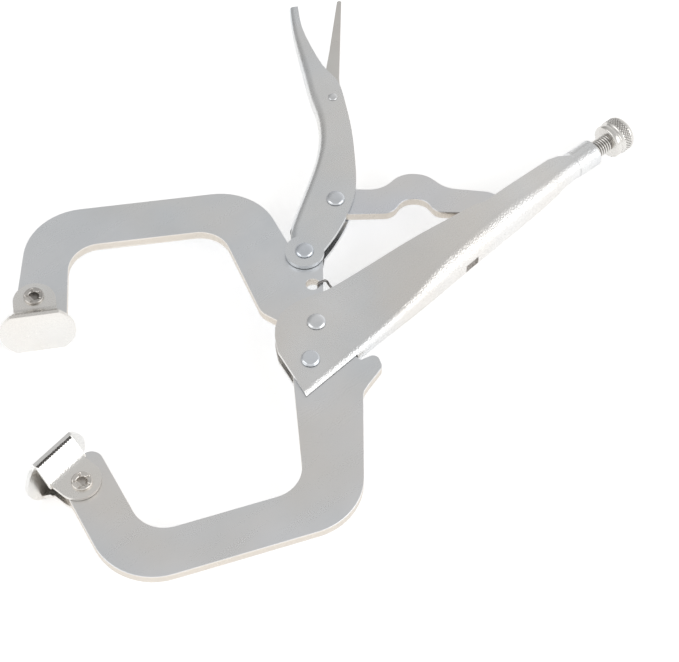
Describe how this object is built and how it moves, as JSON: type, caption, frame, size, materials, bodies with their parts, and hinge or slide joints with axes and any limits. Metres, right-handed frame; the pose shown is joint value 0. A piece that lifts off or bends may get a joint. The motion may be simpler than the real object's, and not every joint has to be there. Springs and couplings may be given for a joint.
{
  "type": "locking c-clamp pliers",
  "caption": "Locking C-clamp pliers lying open: deep C jaws with swivel pads, folded channel handles, toggle link, knurled adjusting screw and release lever",
  "frame": {"origin": "middle of the fixed jaw's swivel pad face, in the tool's middle plane", "axes": "+X runs along the adjusting screw towards the knob, +Y across the tool from the fixed jaw to the moving jaw, +Z square to the plates; the tool lies flat"},
  "size_m": [0.3152, 0.2292, 0.0244],
  "materials": {
    "folded_handle": "satin nickel-plated folded sheet",
    "jaw_plate": "satin nickel-plated stamped plate with sheared edges",
    "link_plate": "satin nickel-plated stamped plate",
    "screw_steel": "bright plated turned steel",
    "spring_wire": "oiled spring wire",
    "rivet_steel": "bright plated rivet steel",
    "pad_sheet": "bright plated pressed sheet",
    "eyelet_steel": "plated hollow rivet"
  },
  "bodies": {
    "main": {"main_handle": "folded_handle", "fixed_jaw": "jaw_plate", "main_pivot_rivet": "rivet_steel", "fixed_jaw_rivet": "rivet_steel", "tension_spring": "spring_wire"},
    "moving_jaw": {"moving_jaw": "jaw_plate"},
    "lever": {"lever_handle": "folded_handle", "lever_jaw_rivet": "rivet_steel", "lever_link_rivet": "rivet_steel", "release_lever_pin": "rivet_steel"},
    "link": {"toggle_link": "link_plate"},
    "release_lever": {"release_lever": "link_plate"},
    "moving_pad": {"moving_pad": "pad_sheet", "moving_pad_rivet": "eyelet_steel"},
    "fixed_pad": {"fixed_pad": "pad_sheet", "fixed_pad_rivet": "eyelet_steel"},
    "screw": {"adjusting_screw": "screw_steel"},
    "knob": {"screw_knob": "screw_steel"}
  },
  "joints": [
    {"name": "jaw_pivot", "type": "hinge", "parent": "main", "child": "moving_jaw", "pos_m": [0.12264, -0.01521, 0], "axis": [0, 0, 1], "range_deg": [0, 22.4], "deforming": ["tension_spring"]},
    {"name": "lever_pivot", "type": "hinge", "parent": "moving_jaw", "child": "lever", "pos_m": [0.14274, 0.01699, 0], "axis": [0, 0, 1], "range_deg": [-69.08, 0]},
    {"name": "link_pivot", "type": "hinge", "parent": "lever", "child": "link", "pos_m": [0.17137, 0.03059, 0], "axis": [0, 0, 1], "range_deg": [0, 64.75]},
    {"name": "release_pivot", "type": "hinge", "parent": "lever", "child": "release_lever", "pos_m": [0.20864, 0.07709, 0], "axis": [0, 0, 1], "range_deg": [0, 8]},
    {"name": "moving_pad_swivel", "type": "hinge", "parent": "moving_jaw", "child": "moving_pad", "pos_m": [0.04042, 0.07114, 0], "axis": [0, 0, 1], "range_deg": [-40, 1]},
    {"name": "fixed_pad_swivel", "type": "hinge", "parent": "main", "child": "fixed_pad", "pos_m": [0.00271, -0.01587, 0], "axis": [0, 0, 1], "range_deg": [-30, 15]},
    {"name": "screw_slide", "type": "slide", "parent": "main", "child": "screw", "axis": [1, 0, 0], "range_m": [0, 0.01]},
    {"name": "knob_turn", "type": "hinge", "parent": "screw", "child": "knob", "pos_m": [0.28714, -0.01941, 0], "axis": [1, 0, 0], "range_deg": [-5, 2885]}
  ],
  "couplings": [
    {"joint": "lever_pivot", "follows": "jaw_pivot", "ratio": -3.0615},
    {"joint": "link_pivot", "follows": "jaw_pivot", "ratio": 2.8683},
    {"joint": "knob_turn", "follows": "screw_slide", "rad_per_m": 5026.6}
  ]
}
